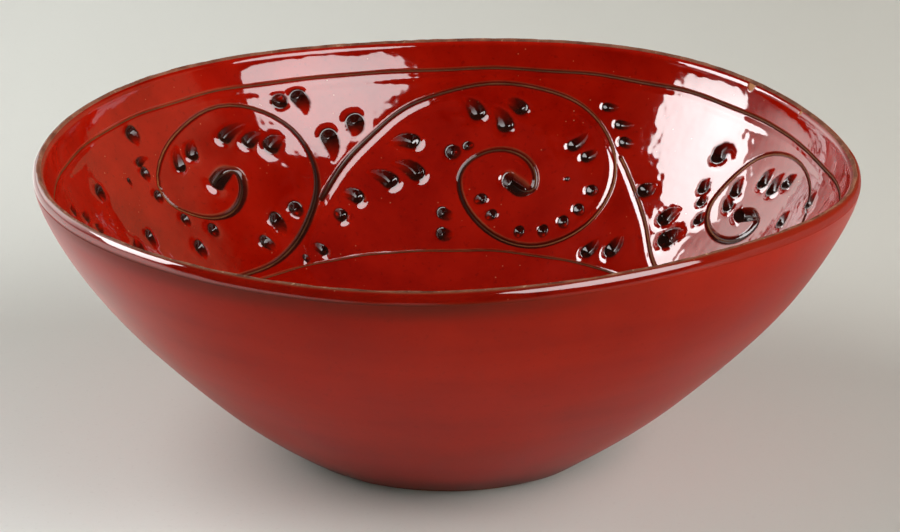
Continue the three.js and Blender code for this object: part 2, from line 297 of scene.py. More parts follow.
# Fineness of the meshes
PANEL_COLUMNS = 330
PANEL_ROWS = 270
PANEL_BACK_ROWS = 13
BACK_ROWS = 12
WELL_ROWS = 110
CLAY_ROWS = 40
CROWN_ROWS = 26
CLAY_INSIDE_ROWS = 60
SATIN_ROWS = 130
LIP_UPPER_ROWS = 22
LIP_LOWER_ROWS = 14
STAIN_FACE_POINTS = 7
BORDER_BACK_POINTS = 4
TURNED_COLUMNS = 480
BORDER_COLUMNS = 1920
SHARP_ANGLE = 50
COVE_COLUMNS = 96
COVE_FLOOR_ROWS = 12
COVE_CURVE_ROWS = 20
PROFILE_STEPS = 2000

# Camera at the photograph's viewing angle, which shows the frame as 900 pixels wide
FRAME_WIDTH = 900
CAMERA_ELEVATION = 20.7
CAMERA_DISTANCE = 1053.7
CAMERA_TARGET_HEIGHT = 46.7
CAMERA_LENS = 121.5
SHIFT_X = 3
SHIFT_Y = 39.3
NEAREST_SEEN = 0.01  # metres

# Soft lights: direction, size as a share of the distance, and power of each lamp, and the outline that its
# reflection has, as azimuths and elevations
LAMP_DISTANCE = 1800
CARD_DISTANCE = 2400
LEFT_LIGHT = {
    "azimuth": -80,
    "elevation": 42,
    "size": 0.95,
    "power": 25.5,
    "glow": 11.5,
    "edge_glow": 6.5,
    "outline": [
        (-99, 3), (-102, 14), (-101, 33), (-95, 41), (-84, 43.5), (-68, 43),
        (-57, 39), (-55, 30), (-63, 25), (-74, 20), (-79, 10), (-84, 2),
    ],
}
RIGHT_LIGHT = {
    "azimuth": 104,
    "elevation": 25,
    "size": 0.95,
    "power": 42,
    "glow": 5.6,
    "edge_glow": 4.2,
    "outline": [
        (113, -8), (111, 19), (106, 34), (104, 41), (107, 50), (118, 55), (130, 57),
        (145, 53), (159, 47), (167, 41), (170, 33), (164, 20), (157, 8), (150, -8),
    ],
}
WORLD_GLOW = 0.02

# Round cove of pale paper about the bowl
COVE_FLOOR = 2000
COVE_ROUNDING = 700
COVE_HEIGHT = 3600
COVE_GLOW = 0.24  # as reflections see the wall
GLOW_TOP = (1.5, 2.4)  # metres above the floor, where the glow ends
GLOW_PEAK = 2.4
GLOW_AZIMUTH = -42
GLOW_EDGE = 0.84  # cosine of the angle from there at which the glow has fallen off
DARK_ROOM = (-0.35, -0.15)  # metres along Y, where the room in front of the bowl gets dark
WALL_START = (0.02, 0.06)  # metres above the floor
LEFT_FLOOR = (-0.16, -0.05)  # metres along X, left of which reflections see the floor glow
FLOOR_GLOW = 1.3
PAPER_ACROSS = (-0.2, 0.2)  # metres along X, between which painted shade makes the paper darker and warmer
PAPER_NEARER = (-0.2, 0.1)  # metres along Y, between which painted light makes it paler towards the front


def colour(red, green, blue):
    """A colour written as 0 to 255 in the usual display scale, as linear light."""
    share = np.array([red, green, blue]) / 255
    linear = np.where(share <= 0.04045, share / 12.92, ((share + 0.055) / 1.055) ** 2.4)
    return (*linear.tolist(), 1.0)


def ease(start, end, value):
    """Smooth step from 0 at the start to 1 at the end."""
    share = np.clip((value - start) / (end - start), 0, 1)
    return share * share * (3 - 2 * share)


def bell(middle, spread, value):
    """A bell curve: 1 at its middle, and e to the power of -1 at the spread from there."""
    return np.exp(-(((value - middle) / spread) ** 2))


def direction(azimuth, elevation):
    """Unit vector at an azimuth and elevation in degrees."""
    a, e = np.radians([azimuth, elevation])
    return np.array([np.sin(a) * np.cos(e), np.cos(a) * np.cos(e), np.sin(e)])


# Profiles


def bezier(handles, share):
    """Points of a curve: neighbouring handles are blended by the share until one point is left."""
    points = [np.outer(np.ones_like(share), handle) for handle in handles]
    while len(points) > 1:
        points = [a + (b - a) * share[:, None] for a, b in zip(points, points[1:])]
    return points[0]


def run_length(points):
    """Length of a line of points from its first point to each of them."""
    return np.concatenate([[0], np.cumsum(np.linalg.norm(np.diff(points, axis=0), axis=1))])


def headings(points):
    """Unit direction of a line at each of its points."""
    along = np.gradient(points, axis=0)
    return along / np.linalg.norm(along, axis=1, keepdims=True)


class Profile:
    """A line of radii and heights down a face, read at any slant and any depth along its inward normal."""

    def __init__(self, points, slants):
        along = headings(points)
        self.points = points
        self.slants = slants
        self.normals = np.stack([along[:, 1], -along[:, 0]], axis=1)

    def read(self, slant, values):
        return np.stack([np.interp(slant, self.slants, values[:, k]) for k in (0, 1)], axis=-1)

    def at(self, slant, depth=0.0):
        depths = np.broadcast_to(depth, np.shape(slant))
        return self.read(slant, self.points) + self.read(slant, self.normals) * depths[..., None]


def outside_profile():
    """The wall's curve from the rim to the foot, carried on straight above the rim."""
    curve = bezier(WALL_HANDLES, np.linspace(0, 1, PROFILE_STEPS))
    top = curve[0] + (curve[0] - curve[1]) / np.linalg.norm(curve[0] - curve[1]) * ABOVE_RIM
    points = np.vstack([top, curve])
    return Profile(points, run_length(points) - ABOVE_RIM)


OUTSIDE = outside_profile()
WALL_LENGTH = OUTSIDE.slants[-1]


def wall_thickness(slant):
    """Thickness of the wall, which grows evenly from the rim to the foot."""
    return WALL_AT_RIM + (WALL_AT_FOOT - WALL_AT_RIM) * slant / WALL_LENGTH


def inside_profile():
    """The outer face set in by the wall's thickness, then a curve that eases into the flat floor."""
    wall_slants = np.linspace(-ABOVE_RIM, FLOOR_BLEND_SLANT, PROFILE_STEPS)
    wall = OUTSIDE.at(wall_slants, wall_thickness(wall_slants))
    start = wall[-1]
    down = OUTSIDE.read(np.array([FLOOR_BLEND_SLANT]), OUTSIDE.normals)[0] @ np.array([[0, 1], [-1, 0]])
    corner = start + down * (FLOOR_HEIGHT - start[1]) / down[1]
    blend = bezier([start, corner, (FLOOR_FLAT_RADIUS, FLOOR_HEIGHT)], np.linspace(0, 1, PROFILE_STEPS))
    floor = np.vstack([blend, (0, FLOOR_HEIGHT)])
    points = np.vstack([wall, floor[1:]])
    return Profile(points, np.concatenate([wall_slants, FLOOR_BLEND_SLANT + run_length(floor)[1:]]))


INSIDE = inside_profile()
FRIEZE_RADIUS = INSIDE.at(np.array([(UPPER_LINE_SLANT + LOWER_LINE_SLANT) / 2]))[0, 0]


def placed(points, azimuth):
    """Profile points turned to their azimuths and lifted by the rim's waves, which fade with the height."""
    radius, height = points[..., 0], points[..., 1]
    share = np.clip((height - FOOT_HEIGHT) / (RIM_HEIGHT - FOOT_HEIGHT), 0, None) ** WAVE_FADE
    lift = sum(rise * np.cos(lobes * (azimuth - np.radians(crest))) for lobes, rise, crest in RIM_WAVES)
    return np.stack([radius * np.sin(azimuth), radius * np.cos(azimuth), height + share * lift], axis=-1)


def ripples(azimuth, slant, length, seed):
    """Sum of cosine waves of one length in random directions, with whole lobes round the bowl."""
    random = np.random.default_rng(seed)
    turns = random.uniform(0, np.pi, RIPPLE_COUNT)
    phases = random.uniform(0, 2 * np.pi, RIPPLE_COUNT)
    lobes = np.round(2 * np.pi * FRIEZE_RADIUS / length * np.cos(turns))
    rates = 2 * np.pi / length * np.sin(turns)
    waves = sum(np.cos(n * azimuth + m * slant + p) for n, m, p in zip(lobes, rates, phases))
    return waves * np.sqrt(2 / RIPPLE_COUNT)


def unevenness(azimuth, slant, sets):
    """Sum of several sets of ripples, each with its own length and height."""
    return sum(height * ripples(azimuth, slant, length, seed) for seed, (length, height) in enumerate(sets))


# Carving


def scroll_plan(index):
    """Sizes of a scroll that follow from the frieze and from its neighbour on the left."""
    azimuth = SCROLL_AZIMUTHS[index]
    before = SCROLL_AZIMUTHS[index - 1] - (360 if index == 0 else 0)
    standing = index % 2 == 1
    eye = STANDING_EYE_SLANT if standing else HANGING_EYE_SLANT
    to_upper = eye - UPPER_LINE_SLANT - UPPER_CLEARANCE
    to_lower = LOWER_LINE_SLANT - eye - LOWER_CLEARANCE
    beside_hanging = LOWER_LINE_SLANT - HANGING_EYE_SLANT - LOWER_CLEARANCE
    beside_standing = STANDING_EYE_SLANT - UPPER_LINE_SLANT - UPPER_CLEARANCE
    return {
        "azimuth": azimuth,
        "eye": eye,
        "upright": 1 if standing else -1,
        "stray": LEFT_STRAYS[index],
        "spacing": np.radians(azimuth - before) * FRIEZE_RADIUS,
        "crown_rise": to_upper if standing else to_lower,
        "bottom_drop": to_lower if standing else to_upper,
        "neighbour_eye_rise": STANDING_EYE_SLANT - HANGING_EYE_SLANT,
        "neighbour_crown_rise": beside_hanging if standing else beside_standing,
    }


def ellipse(middle, reach, rise, start, end):
    """Points of an arc of an ellipse centred at the level of the eye, between two angles in degrees."""
    angle = np.radians(np.linspace(start, end, CURVE_STEPS))
    return np.stack([middle + reach * np.cos(angle), rise * np.sin(angle)], axis=1)


def scroll_line(plan):
    """The eye, two half turns, a quarter turn to the crown, and the stem to the scroll on the left."""
    share = np.linspace(0, 1, CURVE_STEPS)
    outer_reach = SCROLL_RIGHT + CROWN_OFFSET
    join_share = STEM_JOIN_RISE / plan["neighbour_crown_rise"]
    join_reach = outer_reach * np.sqrt(1 - join_share**2) - CROWN_OFFSET
    stem_end = np.array([
        -plan["spacing"] + join_reach + STEM_END_GAP,
        plan["neighbour_eye_rise"] - STEM_JOIN_RISE,
    ])
    crown = np.array([-CROWN_OFFSET, plan["crown_rise"]])
    stem_ease = STEM_EASE * (crown[0] - stem_end[0])
    eye_handles = [
        (SCROLL_START - EYE_LENGTH, 0),
        (SCROLL_START - EYE_LENGTH / 2, -EYE_DIP),
        (SCROLL_START, -EYE_DIP),
        (SCROLL_START, 0),
    ]
    inner_middle = (SCROLL_START - SCROLL_LEFT) / 2
    outer_middle = (SCROLL_RIGHT - SCROLL_LEFT) / 2
    curves = [
        bezier(eye_handles, share),
        ellipse(inner_middle, SCROLL_START - inner_middle, INNER_TURN_RISE, 0, 180),
        ellipse(outer_middle, SCROLL_RIGHT - outer_middle, plan["bottom_drop"], 180, 360),
        ellipse(-CROWN_OFFSET, outer_reach, plan["crown_rise"], 0, 90),
        bezier([crown, crown - (stem_ease, 0), stem_end + stem_ease, stem_end], share),
    ]
    for turn in curves[1:3]:
        leftwards = np.clip(-turn[:, 0] / SCROLL_LEFT, 0, 1)
        turn[:, 0] -= plan["stray"] * leftwards * bell(STRAY_LEVEL, STRAY_SPREAD, turn[:, 1])
    return np.vstack([curves[0], *[curve[1:] for curve in curves[1:]]])


def placing(plan):
    """What a cut takes over from the plan of its scroll."""
    return {name: plan[name] for name in ("azimuth", "eye", "upright")}


def scroll_cut(plan):
    """A scroll's line as a cut: swollen at the eye, wider where it goes down, and with a slope beside it.

    On a standing scroll the slope is on the hollow side of the turns and of the stem. On a hanging scroll
    it is on the other side, and along the stem only.
    """
    line = scroll_line(plan)
    rise = headings(line)[:, 1]
    curve_number = np.arange(len(line)) / (CURVE_STEPS - 1)
    neck = 1 - ease(*NECK_FADE, curve_number)
    blob = 1 - ease(*BLOB_FADE, curve_number)
    swell = EYE_NECK * neck + (1 - EYE_NECK) * blob
    climb = rise * plan["upright"]
    falling = np.convolve(np.clip(-climb, 0, 1), np.full(FALL_STEPS, 1 / FALL_STEPS))[: len(line)]
    pressure = 1 + PRESSURE_CHANGE * np.sin(PRESSURE_RATE * curve_number + plan["azimuth"])
    on_stem = ease(*STEM_START, curve_number)
    bevel = STEM_BEVEL_DEPTH * on_stem
    bevel_width = np.full(len(line), -RISING_BEVEL_WIDTH)
    if plan["upright"] > 0:
        on_turns = ease(*TURNS_START, curve_number) * (1 - on_stem)
        bevel = bevel + BEVEL_DEPTH * rise**2 * np.where(rise > 0, 1, FALLING_BEVEL) * on_turns
        bevel_width = BEVEL_WIDTH + (STEM_BEVEL_WIDTH - BEVEL_WIDTH) * on_stem
    return {
        **placing(plan),
        "line": line * (1, plan["upright"]),
        "half": STROKE_HALF * (pressure + FALLING_WIDER * falling) + EYE_EXTRA * swell,
        "depth": STROKE_DEPTH + EYE_DEEPER * swell,
        # the pooled stain is darkest on the eye, and on the strokes that go down as painted shade
        "dark": STROKE_DARK + (1 - STROKE_DARK) * np.maximum(swell, falling),
        "matte": LINE_MATTE * (1 - swell),
        "bevel": bevel,
        "bevel_width": bevel_width,
        # painted light of the stain: lit on the strokes that go up, shaded on those that go down and on the
        # eye
        "painted_light": (1 + climb) / 2 * (1 - swell),
        "side_burr": 0,
    }


def drop_cut(plan, drop):
    """A drop as a short curled cut: deepest at its head, with a ramp up to the end of its narrow tail."""
    right, above, heading, length, width, *own_curl = drop
    curl = own_curl[0] if own_curl else TAIL_CURL
    share = np.linspace(0, 1, DROP_POINTS)
    turn = np.radians(heading + curl * (share[1:] - TAIL_STRAIGHT))
    steps = np.stack([np.cos(turn), np.sin(turn)], axis=1) * length / (DROP_POINTS - 1)
    along = np.vstack([(0, 0), np.cumsum(steps, axis=0)])
    half = DROP_SPREAD * width / 2
    shoulder = min(SHOULDER_LENGTH_SHARE, SHOULDER_WIDTH_SHARE * width / length)

    def tapered(values):
        return np.interp(share, (0, shoulder, 1), values)

    return {
        **placing(plan),
        "line": ((right, above) + along) * (1, plan["upright"]),
        "half": half * tapered(DROP_HALVES),
        "depth": half * DROP_DEPTH_SHARE * tapered(DROP_DEPTHS),
        "dark": tapered(DROP_DARKS),
        "matte": tapered(DROP_MATTE),
        "bevel": np.zeros(DROP_POINTS),
        "bevel_width": np.ones(DROP_POINTS),
        "side_burr": SIDE_BURR,
    }


def bead_row():
    """Short drops along an ellipse inside the outer turn, with their tails pointing outwards."""
    beads = []
    for angle in BEAD_ANGLES:
        turn = np.radians(angle)
        place = (BEAD_MIDDLE + BEAD_REACH * np.cos(turn), BEAD_RISE * np.sin(turn))
        beads.append((*place, angle, BEAD_LENGTH, BEAD_WIDTH))
    return beads


def all_cuts():
    """The line of each scroll, and the drops round it."""
    standing = STANDING_DROPS + bead_row()
    drops = [LONG_TAILED_DROPS, standing, SHORT_TAILED_DROPS, standing, LONG_TAILED_DROPS, standing]
    cuts = []
    for index in range(len(SCROLL_AZIMUTHS)):
        plan = scroll_plan(index)
        cuts.append(scroll_cut(plan))
        cuts.extend(drop_cut(plan, drop) for drop in drops[index])
    return cuts


CUTS = all_cuts()


def flat_place(azimuth, slant, cut):
    """Places on the wall as distances right of and above the eye of a cut's scroll."""
    turn = azimuth - np.radians(cut["azimuth"])
    turn = (turn + np.pi) % (2 * np.pi) - np.pi
    return turn * FRIEZE_RADIUS, cut["eye"] - slant


CUT_VALUES = ("half", "depth", "dark", "matte", "bevel", "bevel_width")


def nearest_on_cut(right, above, cut):
    """Distance in half widths to the nearest part of a cut, and what the cut is like there.

    For each straight piece the foot of the perpendicular is found, and the piece with the least distance
    in half widths is kept. Lit is the offset towards the upper right in half widths, hollow is the offset
    towards the hollow side of the line's turns, and ahead is 1 straight beyond the start of the line and 0
    beside it.
    """
    nearest = np.full(right.shape, np.inf)
    found = {name: np.zeros(right.shape) for name in (*CUT_VALUES, "lit", "hollow", "ahead")}
    line = cut["line"]
    for i in range(len(line) - 1):
        step = line[i + 1] - line[i]
        length = np.linalg.norm(step)
        along = ((right - line[i, 0]) * step[0] + (above - line[i, 1]) * step[1]) / length
        share = np.clip(along / length, 0, 1)
        off_right = right - line[i, 0] - share * step[0]
        off_above = above - line[i, 1] - share * step[1]
        away = np.hypot(off_right, off_above)
        values = {name: cut[name][i] + share * (cut[name][i + 1] - cut[name][i]) for name in CUT_VALUES}
        values["lit"] = (off_right + off_above) / np.sqrt(2) / values["half"]
        values["hollow"] = (step[0] * off_above - step[1] * off_right) / length * cut["upright"]
        values["ahead"] = np.clip(-along, 0, None) / np.maximum(away, SMALLEST) if i == 0 else 0 * away
        across = away / values["half"]
        closer = across < nearest
        nearest = np.where(closer, across, nearest)
        for name, value in values.items():
            found[name] = np.where(closer, value, found[name])
    return nearest, found


def cut_section(across, found, side_burr):
    """Depth of a cut, a parabola or a slope beside it that rises again, and the rise of its burr."""
    channel = found["depth"] * np.clip(1 - across**2, 0, 1)
    over = found["hollow"] / found["bevel_width"]
    slope = found["bevel"] * np.clip(over, 0, 1) * (1 - ease(*BEVEL_END, over))
    swell = BURR_RISE * found["half"] * bell(BURR_MIDDLE, BURR_SPREAD, across)
    return np.maximum(channel, slope), swell * (side_burr + (1 - side_burr) * found["ahead"])


def shake(azimuth, slant):
    """How far the hand strays from the plan, as an angle and a slant."""
    sideways = HAND_SHAKE / FRIEZE_RADIUS * ripples(azimuth, slant, SHAKE_LENGTH, SIDEWAYS_SEED)
    return sideways, HAND_SHAKE * ripples(azimuth, slant, SHAKE_LENGTH, DOWN_SEED)


CUT_RESULTS = ("depth", "burr", "stain", "ridge_and_highlight", "matte")


def carve(azimuth, slant):
    """Depth of the carving at each place, and its marks: dark stain, tan edges painted as highlights on the
    lit side of the lines, matte lines and chips.

    Where cuts meet, the deepest one counts and the highest burr, not their sums.
    """
    sideways, down = shake(azimuth, slant)
    result = {name: np.zeros(slant.shape) for name in (*CUT_RESULTS, "chip")}

    def press(at, across, found, side_burr, is_line):
        lit = np.clip(found["lit"], -1, 1)
        depth, burr = cut_section(across, found, side_burr)
        # the tan edge on the lit side of a line is a painted highlight
        edge = bell(RIDGE_MIDDLE, RIDGE_SPREAD, across) * np.clip(lit + RIDGE_LEAN, 0, 1) * is_line
        pool_edge = LINE_POOL if is_line else DROP_POOL
        pooled = (1 - ease(*pool_edge, across)) * found["dark"] * (1 - STAIN_LEFT_OFF_FOR_HIGHLIGHT * edge)
        matte = (1 - ease(*MATTE_EDGE, across)) * found["matte"]
        for name, value in zip(CUT_RESULTS, (depth, burr, pooled, edge, matte)):
            result[name][at] = np.maximum(result[name][at], value)

    for _, line_slant, share in BORDERS:
        below = slant + down - line_slant
        half = BORDER_HALF * share
        found = {
            "half": half,
            "depth": BORDER_DEPTH * share,
            "dark": BORDER_DARK[0] + BORDER_DARK[1] * np.sin(azimuth),
            "matte": 1,
            "bevel": BORDER_BEVEL * (share == 1),
            "bevel_width": BEVEL_WIDTH,
            "lit": -below / half,
            "hollow": below,
            "ahead": 0,
        }
        press(..., np.abs(below) / half, found, 0, 1)
    for cut in CUTS:
        right, above = flat_place(azimuth + sideways, slant + down, cut)
        room = ROOM_HALVES * cut["half"].max() + ROOM_BEVELS * np.abs(cut["bevel_width"]).max()
        low = cut["line"].min(axis=0) - room
        high = cut["line"].max(axis=0) + room
        at = (right > low[0]) & (right < high[0]) & (above > low[1]) & (above < high[1])
        across, found = nearest_on_cut(right[at], above[at], cut)
        press(at, across, found, cut["side_burr"], "painted_light" in cut)
    for chip_azimuth, half, reach in CHIPS:
        turn = azimuth - np.radians(chip_azimuth)
        aside = np.sin(turn) * RIM_RADIUS / half
        gone = (1 - ease(*CHIP_EDGE, np.hypot(aside, slant / reach))) * (np.cos(turn) > 0)
        result["depth"] += CHIP_DEPTH * gone
        result["chip"] = np.maximum(result["chip"], gone)
        result["matte"] = np.maximum(result["matte"], gone)
    return result.pop("depth") - result.pop("burr"), result


# Meshes


def grid_quads(rows, columns, wraps):
    """Quads of a grid of vertices, a row after another, with the grid place of each of their corners."""
    steps = columns if wraps else columns - 1
    row, column = np.meshgrid(np.arange(rows - 1), np.arange(steps), indexing="ij")
    corner_rows = np.stack([row, row + 1, row + 1, row], axis=-1).reshape(-1, 4)
    corner_columns = np.stack([column, column, column + 1, column + 1], axis=-1).reshape(-1, 4)
    places = np.stack([corner_columns / steps, corner_rows / (rows - 1)], axis=-1)
    return corner_rows * columns + corner_columns % columns, places


def fan(middle, ring):
    """Triangles between a middle vertex and the edges of a closed ring of vertices."""
    return np.stack([np.full(len(ring), middle), ring, np.roll(ring, -1)], axis=1)


def strip(first, second):
    """Quads between two rows of vertices."""
    return np.stack([first[:-1], first[1:], second[1:], second[:-1]], axis=1)


def mesh_piece(name, points, faces, places, marks):
    """A piece from its points, blocks of faces with equal corner counts, and marks at its points.

    The corners of the first block have places on the bake map. The other blocks are small or hidden.
    """
    sizes = np.concatenate([np.full(len(block), block.shape[1]) for block in faces])
    corners = np.concatenate([block.ravel() for block in faces])
    corner_places = np.zeros((len(corners), 2))
    corner_places[: places.size // 2] = places.reshape(-1, 2)
    mesh = bpy.data.meshes.new(name)
    mesh.vertices.add(len(points))
    mesh.vertices.foreach_set("co", (points * MM).astype(np.float32).ravel())
    mesh.loops.add(len(corners))
    mesh.loops.foreach_set("vertex_index", corners.astype(np.int32))
    mesh.polygons.add(len(sizes))
    mesh.polygons.foreach_set("loop_start", (np.cumsum(sizes) - sizes).astype(np.int32))
    mesh.polygons.foreach_set("use_smooth", np.ones(len(sizes), bool))
    mesh.update(calc_edges=True)
    layer = mesh.uv_layers.new(name="OFBake")
    layer.data.foreach_set("uv", corner_places.astype(np.float32).ravel())
    for mark, values in marks.items():
        layer = mesh.attributes.new(mark, "FLOAT", "POINT")
        layer.data.foreach_set("value", values.astype(np.float32).ravel())
    mesh.validate()
    piece = bpy.data.objects.new(name, mesh)
    bpy.context.scene.collection.objects.link(piece)
    return piece


def dress(piece, material, slot, *nodes):
    """Gives a piece its material, hangs it under the root body and hides the solids that it stands for."""
    piece.data.materials.append(material)
    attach(piece, "root")
    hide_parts(*nodes)


def turned_piece(name, rows, marks, closes):
    """A grid of rows along a profile and columns round the bowl.

    The profile runs up the outside and down the inside, and either closes on itself or starts and ends in a
    pole on the axis.
    """
    count, columns = rows.shape[:2]
    if closes:
        quads, places = grid_quads(count + 1, columns, True)
        faces = [quads % (count * columns)]
        points = rows.reshape(-1, 3)
    else:
        quads, places = grid_quads(count - 2, columns, True)
        around = np.arange(columns)
        first_pole = (count - 2) * columns
        end_fan = fan(first_pole + 1, first_pole - columns + around)[:, [1, 0, 2]]
        faces = [quads, fan(first_pole, around), end_fan]
        points = np.vstack([rows[1:-1].reshape(-1, 3), rows[0, 0], rows[-1, 0]])
        marks = {m: np.concatenate([v[1:-1].ravel(), [v[0, 0], v[-1, 0]]]) for m, v in marks.items()}
    piece = mesh_piece(name, points, faces, places, marks)
    piece.data.set_sharp_from_angle(angle=np.radians(SHARP_ANGLE))
    return piece


def round_azimuths(columns):
    """Equal steps once round the bowl."""
    return np.linspace(0, 2 * np.pi, columns, endpoint=False)


def round_grid(values, columns=TURNED_COLUMNS):
    """Grid once round the bowl: the value of each vertex's row, and the azimuth of each vertex."""
    return np.meshgrid(values, round_azimuths(columns), indexing="ij")


def spun(profile):
    """A profile turned about the axis: the azimuth of each vertex, and its place."""
    radius, azimuth = round_grid(profile[:, 0])
    height, _ = round_grid(profile[:, 1])
    return azimuth, placed(np.stack([radius, height], axis=-1), azimuth)


def grid_normals(points):
    """Unit normals of a grid that closes round the bowl, from the steps to its neighbouring vertices."""
    down = np.gradient(points, axis=0)
    across = np.roll(points, -1, axis=1) - np.roll(points, 1, axis=1)
    normals = np.cross(down, across)
    return normals / np.linalg.norm(normals, axis=-1, keepdims=True)


def inner_cover(azimuth, slant, carving):
    """How far the inner face lies below its profile: the carving and the rim's roll, less the ripples."""
    into_roll = np.clip((INNER_ROLL_START - slant) / (INNER_ROLL_START - INNER_ROLL_END), 0, 1)
    roll = INNER_ROLL_DEPTH * (1 - np.sqrt(1 - into_roll**2))
    return carving + roll - unevenness(azimuth, slant, GLAZE_RIPPLES)


def panel_piece(name, front, back, normals, marks):
    """A slab: the front grid, a coarser back grid, strips at the top and bottom, and a face each side."""
    rows, columns = front.shape[:2]
    back_rows = back.shape[0]
    front_quads, places = grid_quads(rows, columns, False)
    back_quads, _ = grid_quads(back_rows, columns, False)
    front_index = np.arange(rows * columns).reshape(rows, columns)
    back_index = rows * columns + np.arange(back_rows * columns).reshape(back_rows, columns)
    top = strip(front_index[0], back_index[0])
    bottom = strip(front_index[-1], back_index[-1])[:, [1, 0, 3, 2]]
    left = np.concatenate([front_index[::-1, 0], back_index[:, 0]])[None]
    right = np.concatenate([front_index[:, -1], back_index[::-1, -1]])[None]
    hidden = [back_index.min() + back_quads[:, ::-1], top, bottom, left, right]
    points = np.vstack([front.reshape(-1, 3), back.reshape(-1, 3)])
    kept = {m: np.concatenate([v.ravel(), np.zeros(back_rows * columns)]) for m, v in marks.items()}
    piece = mesh_piece(name, points, [front_quads, *hidden], places, kept)
    corner_normals = np.zeros((len(piece.data.loops), 3))
    corner_normals[: front_quads.size] = normals.reshape(-1, 3)[front_quads.ravel()]
    piece.data.normals_split_custom_set(corner_normals)
    return piece


def inner_panels(material):
    """The carved inner glaze from the rim to below the lower line, as equal panels round the bowl."""
    columns = PANELS * PANEL_COLUMNS
    slants = np.linspace(INNER_ROLL_END, PANEL_END, PANEL_ROWS + 1)
    slant, azimuth = round_grid(slants, columns)
    carving, marks = carve(azimuth, slant)
    front = placed(INSIDE.at(slant, -inner_cover(azimuth, slant, carving)), azimuth)
    normals = grid_normals(front)
    back_slants = np.linspace(INNER_ROLL_END, PANEL_END, PANEL_BACK_ROWS)
    back_slant, back_azimuth = round_grid(back_slants, columns)
    back = placed(INSIDE.at(back_slant, -PANEL_THICKNESS), back_azimuth)
    for panel in range(PANELS):
        part = np.arange(panel * PANEL_COLUMNS, (panel + 1) * PANEL_COLUMNS + 1) % columns
        kept = {name: values[:, part] for name, values in marks.items()}
        grids = [grid[:, part] for grid in (front, back, normals)]
        piece = panel_piece(f"inner_glaze_{panel + 1}", *grids, kept)
        dress(piece, material, "gloss_red_glaze", "inner_glaze")


def well(material):
    """The smooth inner glaze below the panels, down to the middle of the floor."""
    floor_end = INSIDE.slants[-1]
    front_slants = np.concatenate([np.linspace(PANEL_END, floor_end - POLE_GAP, WELL_ROWS), [floor_end]])
    back_slants = np.linspace(floor_end, PANEL_END, BACK_ROWS)
    slants = np.concatenate([front_slants, back_slants])
    slant, azimuth = round_grid(slants)
    carving, marks = carve(azimuth, slant)
    to_pole = ease(floor_end - POLE_EASE, floor_end, slant)
    cover = inner_cover(azimuth, slant, carving) * (1 - to_pole)
    cover[len(front_slants) :] = PANEL_THICKNESS
    points = placed(INSIDE.at(slant, -cover), azimuth)
    order = np.concatenate([np.arange(len(front_slants), len(slants)), np.arange(len(front_slants))])
    kept = {name: values[order] for name, values in marks.items()}
    piece = turned_piece("inner_glaze_well", points[order], kept, False)
    dress(piece, material, "gloss_red_glaze", "inner_glaze")


def rim_crown():
    """Rounded bare top of the rim from the clay's outer face to its inner face: a half ellipse."""
    outer = OUTSIDE.at(np.array([0.0]), CROWN_OUTER_DEPTH)[0]
    inner = INSIDE.at(np.array([0.0]), -CROWN_INNER_COVER)[0]
    angle = np.linspace(0, np.pi, CROWN_ROWS)
    points = outer + (inner - outer) * ((1 - np.cos(angle)) / 2)[:, None]
    points[:, 1] += RIM_CROWN * np.sin(angle)
    return points


def clay_body(material):
    """Bare underside, the wall under the glaze, the rim's dented crown and the inside under the glaze."""
    radii = np.linspace(0, FOOT_RADIUS - UNDERSIDE_SET_BACK, CLAY_ROWS)
    underside = np.stack([radii, np.full(CLAY_ROWS, FOOT_HEIGHT)], axis=1)
    outside = OUTSIDE.at(np.linspace(WALL_LENGTH - SATIN_END, LIP_END, CLAY_ROWS), CLAY_OUTER_DEPTH)
    inside_slants = np.linspace(CLAY_TOP_SLANT, INSIDE.slants[-1], CLAY_INSIDE_ROWS)
    inside = INSIDE.at(inside_slants, -PANEL_THICKNESS - CLAY_INNER_GAP)
    profile = np.vstack([underside, outside, rim_crown(), inside])
    azimuth, points = spun(profile)
    on_crown = np.zeros((len(profile), 1))
    crown_start = len(underside) + len(outside)
    on_crown[crown_start : crown_start + CROWN_ROWS, 0] = np.sin(np.linspace(0, np.pi, CROWN_ROWS))
    run = np.linspace(0, 1, len(profile))[:, None] * CROWN_RUN
    dents = unevenness(azimuth, run, CROWN_RIPPLES) * on_crown
    points[..., 2] += np.minimum(dents, CROWN_HIGHEST)
    piece = turned_piece("clay_body_biscuit", points, {}, False)
    dress(piece, material, "biscuit_clay", "clay_body")


def foot_ring(material):
    """A low ring with rounded edges, as a profile of four sides turned about the axis."""
    outer = FOOT_RADIUS - FOOT_SET_BACK
    inner = outer - FOOT_WIDTH
    soft = FOOT_ROUNDING
    profile = np.array([
        (inner + soft, 0),
        (outer - soft, 0),
        (outer, soft),
        (outer, FOOT_HEIGHT),
        (inner, FOOT_HEIGHT),
        (inner, soft),
    ])
    piece = turned_piece("foot_ring_biscuit", spun(profile)[1], {}, True)
    dress(piece, material, "biscuit_clay", "foot_ring")


def outer_coat(name, slants, depths, rippled, back, sets, marks):
    """A coat of the outside: a face at given depths less a share of the ripples, and an even back."""
    slant, azimuth = round_grid(slants)
    face_depth = depths[:, None] - rippled[:, None] * unevenness(azimuth, slant, sets)
    face = placed(OUTSIDE.at(slant, face_depth), azimuth)[::-1]
    back_slant, back_azimuth = round_grid(np.linspace(slants[0], slants[-1], BACK_ROWS))
    back_points = placed(OUTSIDE.at(back_slant, back), back_azimuth)
    kept = {}
    for mark, values in marks.items():
        face_values = np.broadcast_to(values[::-1], azimuth.shape)
        kept[mark] = np.concatenate([face_values, np.zeros(back_slant.shape)])
    return turned_piece(name, np.concatenate([face, back_points]), kept, True)


def brown_side(azimuth):
    """Share of the brown below the lip, which is on one side of the bowl only."""
    return ease(*BROWN_EDGE, np.cos(azimuth - np.radians(BROWN_AZIMUTH)))


